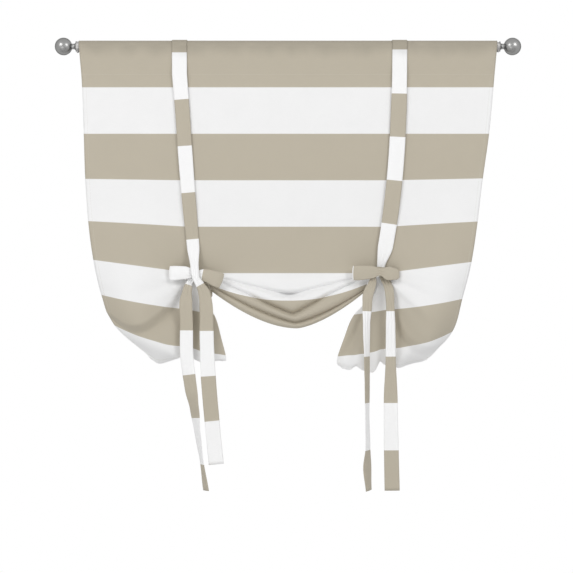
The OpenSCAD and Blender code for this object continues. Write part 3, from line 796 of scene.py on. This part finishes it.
FRONTWARD = Vector((0, -1, 0))
sewn_t = DROP - FOOT_HEM*SEWN
bm = bmesh.new()
for side in (LEFT, RIGHT):
    sewn_s = side*(HALF_W - SIDE_HEM*SEWN)
    sew(bm, [(sewn_s, t) for t in evenly(SEAM_T + STITCH, DROP - FOOT_HEM)], UPWARD)
    sew(bm, [(side*a, sewn_t) for a in evenly(PLEATED_OUT, HALF_W - SIDE_HEM)], LEFTWARD)
sew(bm, [(s, sewn_t) for s in evenly(-PLEATED_IN, PLEATED_IN)], RIGHTWARD)
for s in evenly(-HALF_W, HALF_W):
    for h in (-1, 1):
        out = FRONTWARD*h
        stitch(bm, pocket_point(s, h) + out*(CLOTH_TH/2), Vector((1, 0, 0)), out)
stitches = mesh_object("hem_stitches", bm, thread)
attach(stitches, "hung_shade")

# Ties: a strip through stations (centre, half width, yaw, roll); yaw turns its width towards the wall, roll
# turns it upright
STRIP_STEPS = 12
STRIP_ACROSS = 13
LOOP_PUFF = 0.0022
PUFF_START = 0.4
PUFF_RISE = 0.4
TIE_GATHER = 0.0022
GATHER_TURN = 540
GATHER_REACH = 0.3
TIE_CURL = 0.0012
TIE_CURL_PITCH = 0.45
TIE_STRIPE_H = 0.1187
TIE_EASE = CLOTH_EASE*2.4
TIE_GAP = CLOTH_TH/2 + TIE_TH/2 + TIE_EASE
POCKET_TIE_R = POCKET_R + TIE_GAP
TIE_TURN_SHARES = (0.04, 0.24, 0.48, 0.72, 0.96)
POCKET_TIE_SHARES = (0.1, 0.35, 0.7, 1)
BRIDGE = TIE_W*0.1
FRONT_LEVEL_SHARES = (0.3, 0.5, 0.7, 0.88)
STRAP_STAND = (TIE_W*0.064, TIE_W*0.16)
STRAP_TAPER = 0.72
STRAP_WIDE = {LEFT: 0.97, RIGHT: 1.06}
STRAP_TAPER_POWER = {LEFT: 5, RIGHT: 16}
STRAP_RUN_POWER = {LEFT: 1.45, RIGHT: 2.6}
FRONT, BACK = -1, 1
TIE_START = {LEFT: HALF_W - LEFT_TIE_INSET, RIGHT: HALF_W - RIGHT_TIE_INSET}


def header_stations(side, face):
    """Over the rod and down the pocket, on the front or the back."""
    roll = side*(0 if face == FRONT else 180)
    x = side*TIE_START[side]
    stations = []
    for f in TIE_TURN_SHARES:
        turn = f*POCKET_TURN
        centre = Vector((x, face*POCKET_TIE_R*sine(turn), POCKET_TIE_R*cosine(turn)))
        stations.append((centre, TIE_W/2, 0, roll))
    for f in POCKET_TIE_SHARES:
        foot_y = SEAM_Y if face == FRONT else POCKET_R
        y = TIE_GAP + mix(POCKET_R*sine(POCKET_TURN), foot_y, f) + BRIDGE*f*f
        centre = Vector((x, face*y, mix(POCKET_ARC_Z, TOP_Z - SEAM_T, f)))
        stations.append((centre, TIE_W/2, 0, roll))
    return stations


def strap_stations(side):
    """Down the front of the panel to the knot."""
    stations = []
    for f in FRONT_LEVEL_SHARES:
        x = side*mix(TIE_START[side], KNOT_X, f**STRAP_RUN_POWER[side])
        y = -TIE_GAP - mix(*STRAP_STAND, f)
        wide = mix(STRAP_WIDE[side], STRAP_TAPER, f**STRAP_TAPER_POWER[side])*TIE_W/2
        stations.append((Vector((x, y, TOP_Z - f*KNOT_T)), wide, 0, 0))
    return stations


def knot_stations(side, shares):
    """Stations placed from the knot in tie widths: x away from the middle, y towards the wall, z up."""
    return [
        (Vector((side*(KNOT_X + x*TIE_W), y*TIE_W, KNOT_Z + z*TIE_W)), wide*TIE_W/2, side*yaw, side*roll)
        for (x, y, z), wide, yaw, roll in shares
    ]


LEFT_FRONT_TAIL_SHARES = (
    ((0.04, -0.94, 0.36), 0.54, 0, 0), ((0, -1.03, 0), 0.5, 0, 0), ((-0.08, -1.04, -0.38), 0.46, 0, 0),
    ((-0.34, -1.03, -0.8), 0.56, 0, 0), ((-0.62, -1, -1.4), 0.8, 2, 0),
    ((-0.74, -1.02, -2.4), 0.9, 6, 0), ((-0.77, -0.98, -4.4), 0.94, 0, 0),
    ((-0.88, -0.95, -7), 1, -6, 0), ((-1.15, -0.9, -10.2), 1, -8, 0), ((-1.4, -0.85, -12.75), 1, -4, 0),
)
RIGHT_FRONT_TAIL_SHARES = (
    ((0.04, -0.22, 0.34), 0.52, 0, 0), ((0.2, -0.24, -0.2), 0.5, 0, 0),
    ((0.42, -0.38, -0.62), 0.56, 0, 0), ((0.55, -0.66, -1.02), 0.6, 0, 0),
    ((0.6, -0.92, -1.46), 0.58, 0, 0), ((0.63, -1.02, -2.1), 0.54, 6, 0),
    ((0.65, -1.05, -3.6), 0.64, 10, 0), ((0.66, -1, -5.6), 0.68, 4, 0),
    ((0.66, -0.98, -8.6), 0.92, -4, 0), ((0.7, -0.95, -11.6), 0.98, -8, 0),
    ((0.76, -0.9, -14.5), 1, -4, 0),
)
BACK_RUN_SHARES = (
    ((0.72, 0.6, 9), 1, 0, 180), ((0.3, 0.74, 5), 1, 0, 180), ((-0.45, 0.8, 1.6), 0.8, 0, 180),
    ((-0.82, 0.76, -0.76), 0.5, 0, 180), ((-0.9, 0.4, -1.48), 0.36, 0, 180),
    ((-0.9, -0.24, -1.48), 0.36, 0, 180), ((-0.72, -0.44, -0.84), 0.4, 0, 160),
    ((-0.5, -0.36, -0.3), 0.4, 0, 125),
)
LEFT_BOW_SHARES = (
    ((-0.1, -0.34, -0.02), 0.42, 0, 90), ((0.7, -0.46, 0.02), 0.8, 0, 90), ((1.42, -0.66, 0), 0.94, 0, 90),
    ((1.68, -0.8, 0), 0.92, 0, 90), ((1.38, -0.92, 0), 0.96, 0, 90), ((0.7, -0.84, 0.02), 0.86, 0, 90),
    ((0, -0.76, -0.04), 0.44, 0, 90), ((-0.7, -0.82, -0.16), 0.86, 0, 104),
    ((-1.45, -0.9, -0.42), 1.02, 0, 110), ((-1.74, -0.79, -0.52), 1.02, 0, 110),
    ((-1.4, -0.68, -0.4), 0.96, 0, 110), ((-0.6, -0.62, -0.16), 0.6, 0, 100),
    ((0.06, -0.58, -0.2), 0.36, 0, 60), ((0.34, -0.66, -0.55), 0.4, 0, 20),
)
LEFT_BACK_TAIL_SHARES = (
    ((0.52, -0.9, -1.1), 0.6, 0, 0), ((0.62, -1.02, -2), 0.86, 4, 0), ((0.58, -1.02, -3.4), 0.88, 8, 0),
    ((0.56, -1, -5.4), 0.88, 0, 0), ((0.3, -0.96, -7.6), 0.88, 20, 0), ((0.06, -0.92, -9), 0.94, 48, 0),
    ((-0.15, -0.9, -10.6), 0.98, 64, 0), ((-0.44, -0.88, -12.6), 1, 74, 0),
    ((-0.72, -0.86, -14.5), 1, 66, 0),
)
RIGHT_BOW_SHARES = (
    ((-0.12, -0.44, 0.02), 0.42, 0, 90), ((0.6, -0.44, 0), 0.88, 0, 90),
    ((1.05, -0.47, -0.06), 0.72, 0, 90), ((1.24, -0.6, -0.04), 0.48, 0, 90),
    ((1.02, -0.76, -0.06), 0.76, 0, 90), ((0.54, -0.84, -0.02), 0.92, 0, 90),
    ((0, -0.86, 0.1), 0.5, 0, 90), ((-0.7, -0.84, 0.06), 0.88, 0, 90),
    ((-1.5, -0.83, 0.01), 0.98, 0, 90), ((-1.82, -0.7, 0.01), 0.94, 0, 90),
    ((-1.5, -0.57, 0.01), 0.94, 0, 90), ((-0.98, -0.58, 0.02), 0.6, 0, 90),
    ((-0.66, -0.59, -0.08), 0.42, 0, 66), ((-0.5, -0.62, -0.4), 0.42, 0, 24),
    ((-0.58, -0.7, -0.76), 0.54, 0, 0),
)
RIGHT_BACK_TAIL_SHARES = (
    ((-0.72, -0.84, -1.06), 0.66, 0, 0), ((-0.86, -0.98, -1.46), 0.69, 2, 0),
    ((-0.9, -1.03, -2), 0.64, 8, 0), ((-0.94, -1.05, -3.4), 0.6, 36, 0),
    ((-0.92, -1.02, -5.4), 0.7, 56, 0), ((-0.9, -1, -7.4), 0.86, 66, 0),
    ((-0.9, -0.98, -9.6), 0.96, 72, 0), ((-0.86, -0.95, -11.6), 1, 70, 0),
    ((-0.9, -0.92, -13), 1, 56, 0), ((-0.8, -0.9, -14.5), 1, 66, 0),
)


def pull(points, i):
    """Direction of the curve at a station, shared out by the distances either side."""
    a, b, c = near(points, i - 1), points[i], near(points, i + 1)
    return (c - a)/((b - a).length + (c - b).length)


def between(points, i, f):
    d = (points[i + 1] - points[i]).length
    g = 1 - f
    ends = points[i]*((1 + 2*f)*g*g) + points[i + 1]*((1 + 2*g)*f*f)
    return ends + pull(points, i)*(d*f*g*g) - pull(points, i + 1)*(d*g*f*f)


def strip_centres(stations):
    points = [s[0] for s in stations]
    centres = [
        between(points, i, k/STRIP_STEPS) for i in range(len(points) - 1) for k in range(STRIP_STEPS)
    ]
    return centres + [points[-1]]


def strip_value(stations, column, i):
    k, rest = divmod(i, STRIP_STEPS)
    return mix(near(stations, k)[column], near(stations, k + 1)[column], ease(rest/STRIP_STEPS))


def strip_lengths(centres):
    lengths = [0.0]
    for a, b in zip(centres, centres[1:]):
        lengths.append(lengths[-1] + (b - a).length)
    return lengths


def length_at_row(centres, lengths, row):
    """Length along a tie to the last place where its centre line passes a row of the view."""
    level = row_z(row)
    found = 0.0
    for i in range(len(centres) - 1):
        high, low = centres[i].z, centres[i + 1].z
        if high >= level > low:
            found = mix(lengths[i], lengths[i + 1], (high - level)/(high - low))
    return found


def length_at_station(lengths, k):
    i = k*STRIP_STEPS
    j = min(len(lengths) - 2, math.floor(i))
    return mix(lengths[j], lengths[j + 1], i - j)


def marked_phase(marks, first, length):
    """Stripe phase at a length: it gains one at each mark, and is first at the first of them."""
    if length <= marks[0]:
        return first - (marks[0] - length)/TIE_STRIPE_H
    for k in range(len(marks) - 1):
        if length <= marks[k + 1]:
            return first + k + (length - marks[k])/(marks[k + 1] - marks[k])
    return first + len(marks) - 1 + (length - marks[-1])/TIE_STRIPE_H


# Rows of the square view, as the camera sees the plane of the rod
VIEW_PIXELS = 573
PIXEL = 0.0025526
ROD_ROW = 46.5


def row_z(row):
    return -(row - ROD_ROW)*PIXEL


def tie_piece(cad_node, stations, first, view_rows, at_stations):
    """A tie whose stripes change at the given rows of the view and stations."""
    centres = strip_centres(stations)
    lengths = strip_lengths(centres)
    marks = [length_at_station(lengths, k) for k in at_stations]
    marks += [length_at_row(centres, lengths, row) for row in view_rows]
    marks.sort()

    def place(i, j):
        along = (near(centres, j + 1) - near(centres, j - 1)).normalized()
        wide = strip_value(stations, 1, j)
        yaw = strip_value(stations, 2, j)
        roll = strip_value(stations, 3, j)
        lean = Vector((cosine(yaw)*cosine(roll), sine(yaw)*cosine(roll), sine(roll)))
        across = (lean - along*lean.dot(along)).normalized()
        v = 2*i/(STRIP_ACROSS - 1) - 1
        share = 2*wide/TIE_W
        loop = abs(sine(roll))
        puff = LOOP_PUFF*loop*(1 - v*v)*ease((share - PUFF_START)/PUFF_RISE)
        reach = abs(abs(centres[j].x) - KNOT_X)/TIE_W
        pinch = max(0, 1 - share)*(1 - loop*ease(reach - GATHER_REACH))
        gather = TIE_GATHER*pinch*cosine(GATHER_TURN*v)
        curl = TIE_CURL*(1 - loop)*(1 - v*v)*(1 - cosine(360*lengths[j]/TIE_CURL_PITCH))/2
        point = centres[j] + across*(v*wide) + along.cross(across)*(curl + gather - puff)
        return at_rod(*point), (v*TIE_W/2, -lengths[j]), marked_phase(marks, first, lengths[j])

    tie = sheet_grid(STRIP_ACROSS, len(centres), place, tie_cloth, cad_node + "_cloth", TIE_TH)
    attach(tie, "hung_shade")
    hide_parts(cad_node)


def front_stations(side, tail):
    return header_stations(side, FRONT) + strap_stations(side) + knot_stations(side, tail)


def back_stations(side, bow, tail):
    return header_stations(side, BACK) + knot_stations(side, BACK_RUN_SHARES + bow + tail)


# Where each tie's stripes change, in rows of the view and in stations
LEFT_FRONT_ROWS = (53, 99.6, 146, 192.8, 239.2, 285, 330.5, 375.5, 420)
RIGHT_FRONT_ROWS = (50.2, 93.8, 137, 180.5, 223.8, 267, 311, 356, 402, 449)
LEFT_BACK_ROWS = (285, 330, 374, 417)
LEFT_BACK_MARKS = (17, 23.7, 26)
RIGHT_BACK_ROWS = (311, 356, 402, 449)
RIGHT_BACK_MARKS = (17, 25.8, 28)

for cad_node, stations, first, view_rows, at_stations in (
    ("left_front_tie", front_stations(LEFT, LEFT_FRONT_TAIL_SHARES), 1, LEFT_FRONT_ROWS, ()),
    ("right_front_tie", front_stations(RIGHT, RIGHT_FRONT_TAIL_SHARES), 1, RIGHT_FRONT_ROWS, ()),
    (
        "left_back_tie", back_stations(LEFT, LEFT_BOW_SHARES, LEFT_BACK_TAIL_SHARES),
        1, LEFT_BACK_ROWS, LEFT_BACK_MARKS,
    ),
    (
        "right_back_tie", back_stations(RIGHT, RIGHT_BOW_SHARES, RIGHT_BACK_TAIL_SHARES),
        0, RIGHT_BACK_ROWS, RIGHT_BACK_MARKS,
    ),
):
    tie_piece(cad_node, stations, first, view_rows, at_stations)

# Camera, as far back as the view's flat perspective asks
VIEW_WIDTH = VIEW_PIXELS*PIXEL
VIEW_X = -0.0038
VIEW_DISTANCE = 4.5
SENSOR = 36.0
camera_data = bpy.data.cameras.new("view")
camera_data.sensor_width = SENSOR
camera_data.lens = SENSOR*VIEW_DISTANCE/VIEW_WIDTH
camera = bpy.data.objects.new("view", camera_data)
camera.location = (VIEW_X, ROD_Y - VIEW_DISTANCE, row_z(VIEW_PIXELS/2) + ROD_Z)
camera.rotation_euler = (math.radians(90), 0, 0)
bpy.context.scene.collection.objects.link(camera)
bpy.context.scene.camera = camera

# Light and stage
MIDDLE = Vector((0, ROD_Y, -0.5))
AMBIENT = 0.52


def soft_lamp(name, place, size, power):
    """A square lamp aimed at the middle of the shade."""
    data = bpy.data.lights.new(name, "AREA")
    data.shape = "SQUARE"
    data.size = size
    data.energy = power
    lamp = bpy.data.objects.new(name, data)
    lamp.location = place
    lamp.rotation_euler = (MIDDLE - Vector(place)).to_track_quat("-Z", "Y").to_euler()
    bpy.context.scene.collection.objects.link(lamp)


soft_lamp("left_key", (-2.0, -2.5, 1.1), size=1.4, power=29)
soft_lamp("right_key", (2.0, -2.5, 1.1), size=1.4, power=29)
soft_lamp("low", (-1.0, -2.8, -1.4), size=1.8, power=12)
soft_lamp("rear", (0.8, 3.2, 0.6), size=2.2, power=26)

# White to the camera and in reflections, dimmer as light
world = bpy.data.worlds.new("studio")
bpy.context.scene.world = world
world.use_nodes = True
sky = world.node_tree
background = sky.nodes["Background"]
background.inputs["Color"].default_value = (1, 1, 1, 1)
rays = sky.nodes.new("ShaderNodeLightPath")
shiny = maths(sky, "MAXIMUM", rays.outputs["Is Glossy Ray"], rays.outputs["Is Transmission Ray"])
seen = maths(sky, "MAXIMUM", rays.outputs["Is Camera Ray"], shiny)
strength = ramp(sky, seen, 0, 1, AMBIENT, 1)
join(sky, strength, "Result", background, "Strength")

FLOOR_DROP = 0.8
FLOOR_REACH = 2.4
FLOOR_BEHIND = 0.4
FLOOR_COLOUR = (0.86, 0.86, 0.86, 1)
floor_z = panel_low[2] - FLOOR_DROP
bm = bmesh.new()
bmesh.ops.create_circle(bm, cap_ends=True, segments=96, radius=FLOOR_REACH)
bmesh.ops.translate(bm, verts=bm.verts, vec=(0, ROD_Y - FLOOR_REACH + FLOOR_BEHIND, floor_z))
floor_paint, _, floor_shader = new_material("pale_floor")
floor_shader.inputs["Base Color"].default_value = FLOOR_COLOUR
floor_shader.inputs["Roughness"].default_value = 0.9
floor = mesh_object("floor", bm, floor_paint)

bpy.context.scene.view_settings.view_transform = "Standard"
